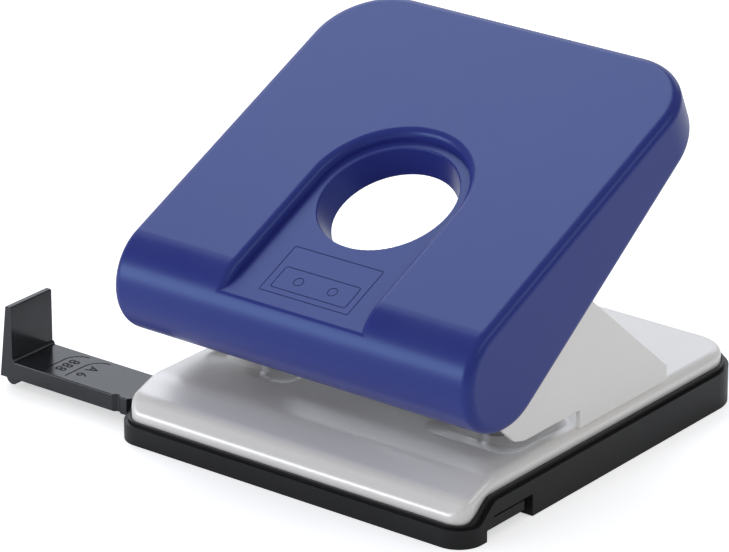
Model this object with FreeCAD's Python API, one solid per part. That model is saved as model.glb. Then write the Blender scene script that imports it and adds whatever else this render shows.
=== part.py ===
import FreeCAD, Part
import math
import os

# Two-hole desk punch. X runs across the punch, Y from the paper side to the back, Z up.
# Lengths are in millimetres. Pieces are drawn with Y = 0 at the front edge of the tray,
# and are moved on export so that the origin is the centre of the face that it rests on.

V = FreeCAD.Vector

# ---- fits and clearances ----
gap = 0.3                     # between pieces that move past each other
seat_gap = 0.3                # between pieces that lie together but are not fixed
running_fit = 0.04            # radial play of a pin that turns or slides in its hole

# ---- tray that carries and closes the base ----
tray_width = 126.0
tray_depth = 138.0
tray_front_radius = 8.0
tray_rear_radius = 13.7
tray_floor = 1.5
tray_wall = 1.2               # outer wall, under its low ledge
tray_lip = 0.8                # inner lip that stands above the ledge
ledge_front_z = 5.6
ledge_side_z = 11.1
lip_front_z = 6.5
lip_side_z = 12.6
lip_rise_start = 4.9          # where the lip starts to climb from front to side height
lip_rise_end = 12.6
ledge_rise_start = 7.2
ledge_rise_end = 14.0
rise_radius = 5.0
tray_rib = 1.6
tray_rib_height = 1.6

# ---- nail pocket and latch tongue in the tray's right wall ----
pocket_front_y = 10.4
pocket_rear_y = 31.6
pocket_depth = 4.2
pocket_height = 3.5
nail_slot_length = 4.0
nail_slot_height = 6.8
tongue_front_y = 13.5
tongue_seam = 0.5
pocket_wall = 1.2

# ---- tray hooks, on which the tray swings down at the back ----
hook_width = 16.0
hook_spacing = 76.0
hook_reach = 2.2
hook_thickness = 1.0
hook_bead_radius = 1.0        # round bead on the hook's root, about which the tray turns
hook_side_gap = 0.6
hook_slot_height = 4.7

# ---- pressed steel base ----
sheet = 1.4
deck_z = 16.6
deck_front_z = 8.8            # height of the deck's front edge, before its roll
deck_shoulder = (5.6, 13.2)   # where the front turns from steep to gently rising
deck_shoulder_radius = 6.0
deck_bend_y = 15.0            # where the front meets the level deck
deck_bend_radius = 14.0
deck_roll = 2.6
skirt_front_z = 4.4
skirt_side_z = 8.3
skirt_step_run = 4.0          # where the skirt's lower edge climbs, just before the nail pocket

# ---- side cheeks ----
cheek_inset = 0.7             # from the deck's side to the cheek's outer face
cheek_rear_y = 100.7
cheek_rear_z = 21.0
cheek_shoulder = (60.0, 56.0)
cheek_peak = (53.0, 60.2)
cheek_boss_radius = 10.5
cheek_tip = (27.0, 23.4)
cheek_tip_rear = (31.5, 0.0)
cheek_corner_radius = 5.0
relief_size = 1.6
cheek_foot_width = 8.0        # flange turned inwards at the cheek's foot
cheek_foot_start = 75.0
weld_radius = 2.0             # spot welds through the flange
weld_dent = 0.3
weld_inset = 5.0

# ---- punching geometry ----
hole_spacing = 80.0
margin = 12.0                 # from the paper's edge to the centres of the holes
paper_stop_y = 57.8
throat_height = 5.6
punch_radius = 2.75
punch_head_radius = 5.0
punch_head_height = 3.2
punch_tip_rise = 0.6          # tip above the throat's roof at rest
punch_tip_dish = 0.9

# ---- recesses pressed into the deck round each die ----
recess_side_gap = 2.6         # from the dish to the cheek
recess_front = 16.0           # from the punch centre to its front edge
recess_rear = 16.0
recess_radius = 6.0
recess_depth = 1.5
recess_slope = 3.0            # run of its sides
recess_front_slope = 7.0      # run of its gentler front
recess_rim_radius = 3.0       # round where the deck turns down into it
die_radius = 5.0
die_below = 1.6

# ---- bridge over the throat ----
bridge_sheet = 2.0
bridge_front_y = 36.0
bridge_lead_in = 2.5
bridge_foot = 11.0
bridge_foot_width = 18.0
bridge_window = 9.0           # open end of the paper stop, next to each cheek
bridge_window_gap = 1.0       # from the window to the outer foot
bridge_rivet_radius = 1.6
bridge_rivet_head = 3.0
bridge_rivet_head_height = 1.2
bush_radius = 4.6
bush_flange_radius = 6.2
bush_flange = 1.0
bush_height = 5.0

# ---- pivot ----
pivot_y = 17.5
pivot_z = 46.8
axle_radius = 3.0
clip_radius = 5.2
clip_thickness = 0.8
lever_bush_radius = 6.0
lever_bush_flange = 0.9

# ---- handle: a wedge with a round nose about the pivot ----
handle_slope = 24.1           # degrees, top face
nose_radius = 16.5
nose_sweep = 245.0            # degrees, where the nose's front round ends
skirt_slope = 35.1            # degrees, lower edge
chin_radius = 20.1            # round between nose and lower edge
handle_length = 124.4         # along the top face, from above the tray's front edge
handle_rear_radius = 22.0
handle_wall = 2.3
handle_side_wall = 2.0
handle_side_gap = 1.15        # from the cover to the cheeks
handle_edge_radius = 3.0
chin_end = 262.0              # degrees, where the nose's underside ends

# ---- finger recess and hole in the handle ----
finger_centre = 50.6          # along the top face
finger_hole_radius = 20.9
finger_hole_lower_radius = 18.6
finger_recess_radius = 23.9
finger_recess_depth = 3.5
finger_shoulder_radius = 2.6  # round along the panel's upper edge
finger_front_radius = 1.6     # round where the panel's bed runs out over the nose
finger_tube_end = 11.5        # below the top face
finger_tube_wall = 2.2
finger_hole_rim_radius = 0.5

# ---- lever frame inside the handle ----
lever_sheet = 2.0
lever_boss_radius = 8.0
lever_web_front = 78.0
lever_web_rear = 105.0
lever_web_depth = 10.0        # below the top face
lever_top_depth = 6.0
press_bar_radius = 4.0
press_bar_reach = 29.0
stroke = 22.0                 # degrees of handle travel
screw_radius = 1.5
screw_head_radius = 2.9
screw_head_height = 1.8
cover_screw_x = 38.0
cover_screw_front = 85.0
cover_screw_rear = 98.0
boss_radius = 3.6
axle_rib_inset = 6.4          # from the lever's arm to the rib
axle_rib_thickness = 2.5

# ---- stop rod for the raised handle ----
stop_rod_radius = 2.0
stop_rod_y = 27.5
stop_rod_z = 36.0

# ---- return springs ----
spring_wire = 0.9
spring_turns = 5.0

# ---- paper guide ----
rail_front_y = 9.2
rail_width = 18.0
rail_top_z = 8.6
rail_thickness = 5.5
rail_inner_x = 14.0
stop_face_x = 109.5           # stop face from the centre, as pulled out
stop_height = 17.2
stop_base_thickness = 4.7
stop_top_thickness = 2.1
rail_foot_radius = 2.3
rail_key = 0.9                # deeper tongue on the rail's inner stretch
rail_key_reach = 3.5          # of the tongue, out of the tray's side
rail_edge_radius = 0.5
notch_width = 3.2
notch_depth = 1.1
detent_x = -28.5
far_stop = 148.5              # half the length of the longest sheet
near_stops = (74.0, 68.5)     # half the length of the short sheets
mark_depth = 0.25
mark_width = 0.5
mark_radius = 5.5
mark_places = (10.7, 18.7)    # from the stop's face
mark_end_gap = 1.8            # from the rail's edges to the mark's ends

# ---- guide channel under the deck ----
channel_side_gap = 0.8        # from the skirt to the channel's outer end
channel_end_x = -8.0
channel_wall = 1.2
channel_lip = 2.4
channel_lip_thickness = 0.9
ear_length = 8.0
ear_x_inset = 8.0
ear_boss_radius = 3.0         # threaded boss welded under the deck above each ear
spring_leaf = 0.4
spring_leaf_length = 16.0

# ---- places worked out from the sizes above ----
tray_inset = tray_wall + tray_lip
deck_inset = tray_inset + seat_gap
deck_half = tray_width / 2 - deck_inset
deck_rear_y = tray_depth - deck_inset
cheek_outer_x = deck_half - cheek_inset
cheek_inner_x = cheek_outer_x - sheet
handle_width = 2 * (cheek_outer_x + handle_side_gap + handle_side_wall)
recess_width = 2 * (cheek_inner_x - hole_spacing / 2 - recess_side_gap)
rivet_reach = cheek_inner_x - bridge_window - bridge_window_gap - bridge_foot_width / 2
channel_start_x = channel_side_gap + sheet - deck_half
punch_y = paper_stop_y - margin
throat_top = deck_z + throat_height
bridge_top = throat_top + bridge_sheet
slope = math.radians(handle_slope)
lower = math.radians(skirt_slope)
top_z = pivot_z + nose_radius / math.cos(slope) - pivot_y * math.tan(slope)
half_stroke = math.radians(stroke / 2)
press_y = pivot_y + press_bar_reach * math.cos(half_stroke)
press_z = pivot_z + press_bar_reach * math.sin(half_stroke)
punch_top = press_z - press_bar_radius - gap
punch_tip = throat_top + punch_tip_rise
rail_rear_y = rail_front_y + rail_width
rail_bottom_z = rail_top_z - rail_thickness
ear_hole_top = deck_z - recess_depth - sheet
lever_outer_x = cheek_inner_x - lever_bush_flange - gap
lever_inner_x = lever_outer_x - lever_sheet
handle_inner_x = handle_width / 2 - handle_side_wall
sides = {"left": -1, "right": 1}


# ---- drawing helpers ----
def side_view(a, b):
    """Point of an outline drawn in the YZ plane."""
    return V(0, a, b)


def plan_view(a, b):
    """Point of an outline drawn in the XY plane."""
    return V(a, b, 0)


def outline(corners, view):
    """Closed wire through corners (a, b, radius), each rounded by its radius."""
    edges = []
    last = None
    first = None
    count = len(corners)
    for i in range(count):
        here = V(corners[i][0], corners[i][1], 0)
        back = V(*corners[i - 1][:2], 0) - here
        ahead = V(*corners[(i + 1) % count][:2], 0) - here
        back.normalize()
        ahead.normalize()
        radius = corners[i][2]
        start = end = here
        if radius:
            half = back.getAngle(ahead) / 2
            start = here + back * (radius / math.tan(half))
            end = here + ahead * (radius / math.tan(half))
            middle = (back + ahead).normalize()
            crown = here + middle * (radius / math.sin(half) - radius)
        if last is not None:
            edges.append(Part.makeLine(view(last.x, last.y), view(start.x, start.y)))
        else:
            first = start
        if radius:
            arc = Part.Arc(view(start.x, start.y), view(crown.x, crown.y), view(end.x, end.y))
            edges.append(arc.toShape())
        last = end
    edges.append(Part.makeLine(view(last.x, last.y), view(first.x, first.y)))
    return Part.Wire(edges)


def slab(corners, view, start, depth):
    """Outline filled, moved by start and extruded by depth."""
    face = Part.Face(outline(corners, view))
    face.translate(start)
    return face.extrude(depth)


def side_slab(corners, x0, x1):
    return slab(corners, side_view, V(x0, 0, 0), V(x1 - x0, 0, 0))


def plan_slab(corners, z0, z1):
    return slab(corners, plan_view, V(0, 0, z0), V(0, 0, z1 - z0))


def box(x0, x1, y0, y1, z0, z1):
    return Part.makeBox(x1 - x0, y1 - y0, z1 - z0, V(x0, y0, z0))


def rod_x(radius, x0, x1, y, z):
    return Part.makeCylinder(radius, x1 - x0, V(x0, y, z), V(1, 0, 0))


def post(radius, x, y, z0, z1):
    return Part.makeCylinder(radius, z1 - z0, V(x, y, z0))


def plan_block(inset, z0, z1):
    """The tray's footprint drawn in by an inset, between two heights."""
    half = tray_width / 2 - inset
    front = tray_front_radius - inset
    rear = tray_rear_radius - inset
    corners = [(-half, inset, front), (half, inset, front),
               (half, tray_depth - inset, rear), (-half, tray_depth - inset, rear)]
    return plan_slab(corners, z0, z1)


def on_handle(shape):
    """Move a shape drawn flat, with Y along the handle's top face, onto that face."""
    placed = shape.copy()
    placed.rotate(V(0, 0, 0), V(1, 0, 0), handle_slope)
    placed.translate(V(0, 0, top_z))
    return placed


def handle_point(along, down):
    """Side view place of a point by its distance along and below the top face."""
    return (along * math.cos(slope) + down * math.sin(slope),
            top_z + along * math.sin(slope) - down * math.cos(slope))


def round_about(centre, radius, start, end):
    """Arc in the side view about a centre, between two angles in degrees."""
    points = []
    for angle in (start, (start + end) / 2, end):
        turn = math.radians(angle)
        points.append(V(0, centre[0] + radius * math.cos(turn), centre[1] + radius * math.sin(turn)))
    return Part.Arc(*points).toShape()


def joined(shapes):
    """Fuse solids into one clean solid."""
    return shapes[0].fuse(shapes[1:]).removeSplitter()


def save(name, shape):
    """Write one piece, moved so that the origin is the centre of the rest face."""
    placed = shape.copy()
    placed.translate(V(0, -tray_depth / 2, 0))
    placed.exportStep("parts/" + name + ".step")


# ---- chip tray ----
def rising_block(inset, front_z, side_z, rise_start, rise_end):
    """Footprint block whose top climbs from the front height to the side height."""
    corners = [(-1, -1, 0), (-1, front_z, 0), (rise_start, front_z, rise_radius),
               (rise_end, side_z, rise_radius), (tray_depth + 1, side_z, 0),
               (tray_depth + 1, -1, 0)]
    half = tray_width / 2
    return side_slab(corners, -half, half).common(plan_block(inset, 0, side_z + 1))


def tray_pocket():
    """Nail pocket under the right wall, with the seam that frees the latch tongue."""
    side = tray_width / 2
    inner = side - pocket_depth
    nail_y = pocket_rear_y - nail_slot_length
    seam_z = nail_slot_height - tongue_seam
    cuts = [box(inner, side + 1, pocket_front_y, pocket_rear_y, -1, pocket_height),
            box(inner, side + 1, nail_y, pocket_rear_y, -1, nail_slot_height),
            box(inner, side + 1, tongue_front_y, nail_y + 1, seam_z, nail_slot_height)]
    return joined(cuts)


def pocket_lining():
    """Walls that close the nail pocket off from the chip space."""
    side = tray_width / 2 - tray_wall / 2
    return box(side - pocket_depth - pocket_wall, side, pocket_front_y - pocket_wall,
               pocket_rear_y + pocket_wall, 0, nail_slot_height + pocket_wall)


def tray_hook(x):
    """Inward hook at the top of the rear wall, with the round bead that the tray turns about."""
    wall = tray_depth - tray_inset
    top = lip_side_z - gap
    start = x - hook_width / 2
    end = x + hook_width / 2
    reach = box(start, end, wall - hook_reach, wall + tray_lip, top - hook_thickness, top)
    return reach.fuse(rod_x(hook_bead_radius, start, end, wall, lip_side_z))


def chip_tray():
    ledge = rising_block(0, ledge_front_z, ledge_side_z, ledge_rise_start, ledge_rise_end)
    lip = rising_block(tray_wall, lip_front_z, lip_side_z, lip_rise_start, lip_rise_end)
    body = joined([ledge, lip]).cut(plan_block(tray_inset, tray_floor, lip_side_z + 1))
    ribs = [box(-tray_width / 2 + tray_inset, tray_width / 2 - tray_inset, y, y + tray_rib,
                tray_floor, tray_floor + tray_rib_height) for y in (70.0, 104.0)]
    hooks = [tray_hook(side * hook_spacing / 2) for side in (-1, 1)]
    body = joined([body, pocket_lining()] + ribs + hooks)
    window = box(-tray_width, -tray_width / 2 + tray_inset + 1, rail_front_y - 3 * gap,
                 rail_rear_y + 3 * gap, rail_bottom_z - rail_key - gap, lip_side_z + 1)
    return body.cut(tray_pocket()).cut(window)


# ---- pressed steel base ----
def drawn_in(before, corner, after, inset):
    """A corner of an outline whose sides are drawn in, with the inside on their right."""
    first = V(corner[0] - before[0], corner[1] - before[1], 0).normalize()
    second = V(after[0] - corner[0], after[1] - corner[1], 0).normalize()
    inward = V(first.y + second.y, -first.x - second.x, 0)
    shift = inward * (inset / (1 + first.dot(second)))
    return corner[0] + shift.x, corner[1] + shift.y


def deck_block(inset):
    """The deck's outside, or with the sheet's thickness as inset, its inside."""
    front = deck_inset + inset
    rear = deck_rear_y - inset
    turns = [(deck_inset, 0), (deck_inset, deck_front_z), deck_shoulder, (deck_bend_y, deck_z),
             (deck_rear_y, deck_z)]
    low, shoulder, bend = [drawn_in(*turns[i:i + 3], inset) for i in range(3)]
    corners = [(front, 0, 0), (*low, 0), (*shoulder, deck_shoulder_radius - inset),
               (*bend, deck_bend_radius - inset), (rear, deck_z - inset, 0), (rear, 0, 0)]
    block = side_slab(corners, -deck_half + inset, deck_half - inset)
    block = block.common(plan_block(deck_inset + inset, 0, deck_z + 1))
    rim = [edge for edge in block.Edges if is_deck_rim(edge, front, rear)]
    return block.makeFillet(deck_roll - inset, rim)


def is_deck_rim(edge, front, rear):
    """True for the edges between the deck's top and its skirt."""
    bounds = edge.BoundBox
    across = bounds.XLength > deck_half and front + 1 < bounds.Center.y < rear - 1
    return bounds.ZMin > 1 and not across


def skirt_trim():
    """What is cut off below the skirt, lower in front than at the sides."""
    step_end = pocket_front_y - pocket_wall - gap
    corners = [(-1, -1, 0), (-1, skirt_front_z, 0), (step_end - skirt_step_run, skirt_front_z, 0),
               (step_end, skirt_side_z, 0), (tray_depth + 1, skirt_side_z, 0), (tray_depth + 1, -1, 0)]
    return side_slab(corners, -tray_width, tray_width)


def recess_dish(x, drop):
    """Shallow sloping-sided dish in the deck, lowered by drop."""
    half = recess_width / 2
    wires = []
    for inset, front_inset, z in ((0, 0, deck_z),
                                  (recess_slope, recess_front_slope, deck_z - recess_depth)):
        radius = recess_radius - inset * 0.5
        front = punch_y - recess_front + front_inset
        rear = punch_y + recess_rear - inset
        corners = [(x - half + inset, front, radius), (x + half - inset, front, radius),
                   (x + half - inset, rear, radius), (x - half + inset, rear, radius)]
        wire = outline(corners, plan_view)
        wire.translate(V(0, 0, z - drop))
        wires.append(wire)
    return Part.makeLoft(wires, True)


def round_recess_rim(shell, x):
    """Round the edge at which the deck turns down into a dish."""
    half = recess_width / 2
    rim = []
    for edge in shell.Edges:
        bounds = edge.BoundBox
        level = abs(bounds.ZMin - deck_z) < 0.01 and abs(bounds.ZMax - deck_z) < 0.01
        across = x - half - 0.1 < bounds.XMin and bounds.XMax < x + half + 0.1
        front = punch_y - recess_front - 0.1 < bounds.YMin
        if level and across and front and bounds.YMax < punch_y + recess_rear + 0.1:
            rim.append(edge)
    return shell.makeFillet(recess_rim_radius, rim)


def cheek(side):
    """Side plate with the pivot boss in front and the open throat under it."""
    arc = cheek_boss_radius
    corners = [(cheek_rear_y, deck_z, 0), (cheek_rear_y, cheek_rear_z, 0),
               (cheek_shoulder[0], cheek_shoulder[1], cheek_corner_radius),
               (cheek_peak[0], cheek_peak[1], cheek_corner_radius),
               (pivot_y - arc, pivot_z + arc, arc * 0.9),
               (pivot_y - arc, pivot_z - arc * 0.5, arc * 0.5),
               (cheek_tip[0], cheek_tip[1], 1.0),
               (cheek_tip_rear[0], throat_top, 2.0),
               (paper_stop_y, throat_top, 0.6), (paper_stop_y, deck_z, 0)]
    start, end = sorted((side * cheek_inner_x, side * cheek_outer_x))
    plate = joined([side_slab(corners, start, end), cheek_foot(side)])
    relief = [(cheek_rear_y - relief_size, deck_z, 0), (cheek_rear_y + 1, deck_z, 0),
              (cheek_rear_y + 1, deck_z + relief_size * 2, 0)]
    plate = plate.cut(side_slab(relief, start, end))
    plate = plate.cut(rod_x(axle_radius, start, end, pivot_y, pivot_z))
    return plate.cut(rod_x(stop_rod_radius, start, end, stop_rod_y, stop_rod_z))


def cheek_foot(side):
    """Flange that holds the cheek to the deck by two spot welds."""
    start, end = sorted((side * (cheek_inner_x - cheek_foot_width), side * cheek_inner_x))
    rear = cheek_rear_y - 2 * relief_size
    foot = box(start, end, cheek_foot_start, rear, deck_z, deck_z + sheet)
    middle = (start + end) / 2
    for y in (cheek_foot_start + weld_inset, rear - weld_inset):
        foot = foot.cut(post(weld_radius, middle, y, deck_z + sheet - weld_dent, throat_top))
    return foot


def hook_slot(x):
    """Slot in the rear skirt that a tray hook reaches through."""
    half = hook_width / 2 + hook_side_gap
    top = lip_side_z + hook_bead_radius + gap
    return box(x - half, x + half, deck_rear_y - sheet - 1, tray_depth, top - hook_slot_height, top)


def rail_exit():
    """Way out for the paper guide through the left skirt."""
    return box(-tray_width, -deck_half + sheet + 1, rail_front_y - gap, rail_rear_y + gap, 0,
               rail_top_z + gap)


def base_plate():
    shell = deck_block(0).cut(deck_block(sheet)).cut(skirt_trim())
    punches = [side * hole_spacing / 2 for side in (-1, 1)]
    dishes = [recess_dish(x, sheet) for x in punches]
    shell = joined([shell] + dishes + [ear_boss(x) for x in ear_places()])
    for x in punches:
        shell = round_recess_rim(shell.cut(recess_dish(x, 0)), x)
        shell = shell.cut(post(die_radius, x, punch_y, 0, deck_z))
    for side in (-1, 1):
        shell = shell.cut(hook_slot(side * hook_spacing / 2))
    for x in rivet_places():
        shell = shell.cut(post(bridge_rivet_radius, x, rivet_y(), 0, deck_z + 1))
    for x in ear_places():
        shell = shell.cut(post(screw_radius, x, ear_y(), 0, ear_hole_top))
    return shell.cut(rail_exit())


def ear_boss(x):
    """Threaded boss under the deck that takes a channel screw."""
    low = rail_top_z + gap + channel_wall
    return post(ear_boss_radius, x, ear_y(), low, deck_z - sheet / 2)


def rivet_y():
    return paper_stop_y + bridge_sheet + bridge_foot / 2


def rivet_places():
    return [side * reach for reach in (rivet_reach, hole_spacing / 8) for side in (-1, 1)]


# ---- bridge, bushes and dies ----
def punch_bridge():
    """Throat roof, paper stop and riveted feet, bent from one strip."""
    stop = paper_stop_y
    t = bridge_sheet
    corners = [(bridge_front_y, throat_top + bridge_lead_in, 0),
               (bridge_front_y + bridge_lead_in, throat_top, 1.0),
               (stop, throat_top, 0), (stop, deck_z, 0), (stop + t, deck_z, 0),
               (stop + t, bridge_top, t), (bridge_front_y + bridge_lead_in + t / 2, bridge_top, 1.0),
               (bridge_front_y + t / 2, bridge_top + bridge_lead_in - t / 4, 0)]
    strip = side_slab(corners, -cheek_inner_x, cheek_inner_x)
    feet = []
    for x in rivet_places():
        half = bridge_foot_width / 2
        if abs(x) < bridge_foot_width:
            half = bridge_foot_width / 3
        feet.append(box(x - half, x + half, stop + t / 2, stop + t + bridge_foot, deck_z, deck_z + t))
    bridge = joined([strip] + feet)
    for x in rivet_places():
        bridge = bridge.cut(post(bridge_rivet_radius, x, rivet_y(), 0, throat_top))
    for side in (-1, 1):
        x = side * hole_spacing / 2
        bridge = bridge.cut(post(bush_radius, x, punch_y, throat_top - 1, bridge_top + 1))
        start, end = sorted((side * cheek_inner_x, side * (cheek_inner_x - bridge_window)))
        bridge = bridge.cut(box(start, end, stop - 1, stop + t + 1, deck_z - 1, throat_top))
    return bridge


def bridge_rivets():
    rivets = []
    for x in rivet_places():
        shank = post(bridge_rivet_radius, x, rivet_y(), deck_z - sheet - bridge_rivet_head_height,
                     deck_z + bridge_sheet + bridge_rivet_head_height)
        top = post(bridge_rivet_head, x, rivet_y(), deck_z + bridge_sheet,
                   deck_z + bridge_sheet + bridge_rivet_head_height)
        top = top.makeFillet(bridge_rivet_head_height * 0.7, [top.Edges[0]])
        foot = post(bridge_rivet_head, x, rivet_y(), deck_z - sheet - bridge_rivet_head_height,
                    deck_z - sheet)
        rivets.append(joined([shank, top, foot]))
    return Part.makeCompound(rivets)


def guide_bush(side):
    """Flanged bush pressed into the bridge, in which a punch slides."""
    x = side * hole_spacing / 2
    body = post(bush_radius, x, punch_y, throat_top, bridge_top + bush_height)
    flange = post(bush_flange_radius, x, punch_y, bridge_top, bridge_top + bush_flange)
    bore = post(punch_radius + running_fit, x, punch_y, throat_top - 1, bridge_top + bush_height + 1)
    return joined([body, flange]).cut(bore)


def die_ring(side):
    """Hardened ring set in the floor of the recess, flush with the deck."""
    x = side * hole_spacing / 2
    floor = deck_z - recess_depth
    ring = post(die_radius, x, punch_y, floor - sheet - die_below, floor + recess_depth)
    upper = post(punch_radius + running_fit, x, punch_y, floor - sheet, deck_z + 1)
    relief = Part.makeCone(die_radius - 1, punch_radius + running_fit, sheet + die_below,
                           V(x, punch_y, floor - sheet - die_below))
    return ring.cut(upper).cut(relief)


# ---- punches ----
def punch_pin(side):
    """Hollow-ground punch with a dished tip."""
    x = side * hole_spacing / 2
    pin = post(punch_radius, x, punch_y, punch_tip, punch_top - punch_head_height / 2)
    dish = rod_x(punch_radius * 2.2, x - punch_radius * 2, x + punch_radius * 2, punch_y,
                 punch_tip - punch_radius * 2.2 + punch_tip_dish)
    return pin.cut(dish)


def punch_head(side):
    """Cap pressed on the punch, on which the press bar bears."""
    x = side * hole_spacing / 2
    cap = post(punch_head_radius, x, punch_y, punch_top - punch_head_height, punch_top)
    cap = cap.makeFillet(0.8, [cap.Edges[0], cap.Edges[2]])
    seat = post(punch_radius, x, punch_y, punch_top - punch_head_height - 1,
                punch_top - punch_head_height / 2)
    return cap.cut(seat)


def return_spring(side):
    """Helical spring between the bush flange and the punch cap."""
    x = side * hole_spacing / 2
    start = bridge_top + bush_flange + gap + spring_wire / 2
    end = punch_top - punch_head_height - gap - spring_wire / 2
    radius = bush_radius + spring_wire / 2 + seat_gap
    helix = Part.makeLongHelix((end - start) / spring_turns, end - start, radius)
    section = Part.Wire(Part.makeCircle(spring_wire / 2, V(radius, 0, 0), V(0, 1, 0)))
    coil = Part.Wire(helix).makePipeShell([section], True, True)
    coil.translate(V(x, punch_y, start))
    return coil


# ---- pivot and stop ----
def pivot_axle():
    axle = rod_x(axle_radius, -cheek_outer_x, cheek_outer_x, pivot_y, pivot_z)
    for x in clip_places():
        ring = rod_x(axle_radius + 1, x, x + clip_thickness, pivot_y, pivot_z)
        core = rod_x(axle_radius - 0.5, x, x + clip_thickness, pivot_y, pivot_z)
        axle = axle.cut(ring.cut(core))
    return axle


def clip_places():
    """Left face of each retaining clip, just inside the lever's arms."""
    inner = lever_inner_x - gap
    return [-inner, inner - clip_thickness]


def axle_clips():
    clips = []
    for x in clip_places():
        ring = rod_x(clip_radius, x, x + clip_thickness, pivot_y, pivot_z)
        ring = ring.cut(rod_x(axle_radius - 0.5, x, x + clip_thickness, pivot_y, pivot_z))
        mouth = box(x, x + clip_thickness, pivot_y - axle_radius * 0.7, pivot_y + axle_radius * 0.7,
                    pivot_z - clip_radius - 1, pivot_z - axle_radius * 0.5)
        clips.append(ring.cut(mouth))
    return Part.makeCompound(clips)


def stop_rod():
    return rod_x(stop_rod_radius, -cheek_outer_x, cheek_outer_x, stop_rod_y, stop_rod_z)


# ---- handle cover ----
def handle_profile():
    """Side outline of the cover: top face, nose, chin, lower edge and rear wall."""
    nose = (pivot_y, pivot_z)
    turn = math.radians(nose_sweep)
    chin = (pivot_y + (nose_radius - chin_radius) * math.cos(turn),
            pivot_z + (nose_radius - chin_radius) * math.sin(turn))
    top_angle = 90 + handle_slope
    front = round_about(nose, nose_radius, top_angle, nose_sweep)
    under = round_about(chin, chin_radius, nose_sweep, 270 + skirt_slope)
    rear_top = handle_point(handle_length, 0)
    start = under.Vertexes[-1].Point
    # depth of the rear wall, where the lower edge meets the rear plane
    rise = math.tan(lower)
    over = rear_top[1] - start.z - (rear_top[0] - start.y) * rise
    rear_depth = over / (math.cos(slope) + math.sin(slope) * rise)
    rear_low = handle_point(handle_length, rear_depth)
    top_front = front.Vertexes[0].Point
    edges = [front, under, Part.makeLine(start, side_view(*rear_low)),
             Part.makeLine(side_view(*rear_low), side_view(*rear_top)),
             Part.makeLine(side_view(*rear_top), top_front)]
    return Part.Face(Part.Wire(edges))


def handle_outside():
    half = handle_width / 2
    face = handle_profile()
    face.translate(V(-half, 0, 0))
    body = face.extrude(V(handle_width, 0, 0))
    corners = [(-half, -40, 0), (half, -40, 0), (half, handle_length, handle_rear_radius),
               (-half, handle_length, handle_rear_radius)]
    return body.common(on_handle(plan_slab(corners, -90, 10)))


def is_outer_rim(edge, body):
    """True for the edges between the cover's sides and its top, nose and chin."""
    bounds = edge.BoundBox
    middle = edge.valueAt((edge.FirstParameter + edge.LastParameter) / 2)
    down = (top_z + middle.y * math.tan(slope) - middle.z) * math.cos(slope)
    on_side = abs(abs(middle.x) - handle_width / 2) < 0.01 and bounds.XLength < 0.01
    nose = on_side and math.hypot(middle.y - pivot_y, middle.z - pivot_z) < nose_radius + 4
    return (down < 0.01 and not (bounds.XLength > handle_width * 0.9 and middle.y < pivot_y)) or nose


def handle_cavity():
    """Space inside the cover, open below."""
    wall = handle_wall
    radius = nose_radius - wall
    front = round_about((pivot_y, pivot_z), radius, 90 + handle_slope, chin_end)
    top_front = front.Vertexes[0].Point
    low_front = front.Vertexes[-1].Point
    rear_top = handle_point(handle_length - wall, wall)
    rear_low = handle_point(handle_length - wall, 80)
    exit_low = (low_front.y + 8, low_front.z - 12)
    places = [low_front, side_view(*exit_low), side_view(rear_low[0], exit_low[1]),
              side_view(*rear_low), side_view(*rear_top), top_front]
    edges = [front]
    for i in range(len(places) - 1):
        edges.append(Part.makeLine(places[i], places[i + 1]))
    face = Part.Face(Part.Wire(edges))
    face.translate(V(-handle_inner_x, 0, 0))
    body = face.extrude(V(2 * handle_inner_x, 0, 0))
    radius = handle_rear_radius - wall
    corners = [(-handle_inner_x, -60, 0), (handle_inner_x, -60, 0),
               (handle_inner_x, handle_length - wall, radius),
               (-handle_inner_x, handle_length - wall, radius)]
    return body.common(on_handle(plan_slab(corners, -140, 10)))


def finger_panel(grow, upper, under):
    """Panel's plan between two depths: a half round about the finger hole, open to the nose."""
    radius = finger_recess_radius + grow
    centre = finger_centre
    front = -2 * nose_radius
    arc = Part.Arc(V(radius, centre, -under), V(0, centre + radius, -under), V(-radius, centre, -under))
    edges = [arc.toShape(), Part.makeLine(V(-radius, centre, -under), V(-radius, front, -under)),
             Part.makeLine(V(-radius, front, -under), V(radius, front, -under)),
             Part.makeLine(V(radius, front, -under), V(radius, centre, -under))]
    return on_handle(Part.Face(Part.Wire(edges)).extrude(V(0, 0, under - upper)))


def panel_bed(outside):
    """What stays of the cover's outside under the panel's bed, rounded where it meets the nose."""
    reach = finger_recess_radius + 2 * finger_shoulder_radius
    rear = finger_centre + reach
    bed = outside.common(on_handle(box(-reach, reach, -2 * nose_radius, rear, -handle_length,
                                       -finger_recess_depth)))
    front = [edge for edge in bed.Edges if edge.BoundBox.XLength > 1.9 * reach
             and abs(below_top(edge.Vertexes[0].Point) - finger_recess_depth) < 0.01
             and edge.BoundBox.Center.y < pivot_y]
    return bed.makeFillet(finger_front_radius, front)


def sink_panel(outside):
    """Sink the panel into the cover's outside, with a rounded shoulder all along its edge."""
    slotted = outside.cut(finger_panel(0, -10, 2 * handle_length))
    rear = finger_centre + finger_recess_radius
    crest = [edge for edge in slotted.Edges
             if abs(below_top(edge.Vertexes[0].Point)) < 0.01 and is_round_at(edge, rear)]
    return joined([slotted.makeFillet(finger_shoulder_radius, crest), panel_bed(outside)])


def is_round_at(edge, rear):
    """True for the edge that passes the middle of the handle at a distance along the top face."""
    middle = edge.valueAt((edge.FirstParameter + edge.LastParameter) / 2)
    along = middle.y * math.cos(slope) + (middle.z - top_z) * math.sin(slope)
    return abs(middle.x) < 0.01 and abs(along - rear) < 0.01


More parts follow.
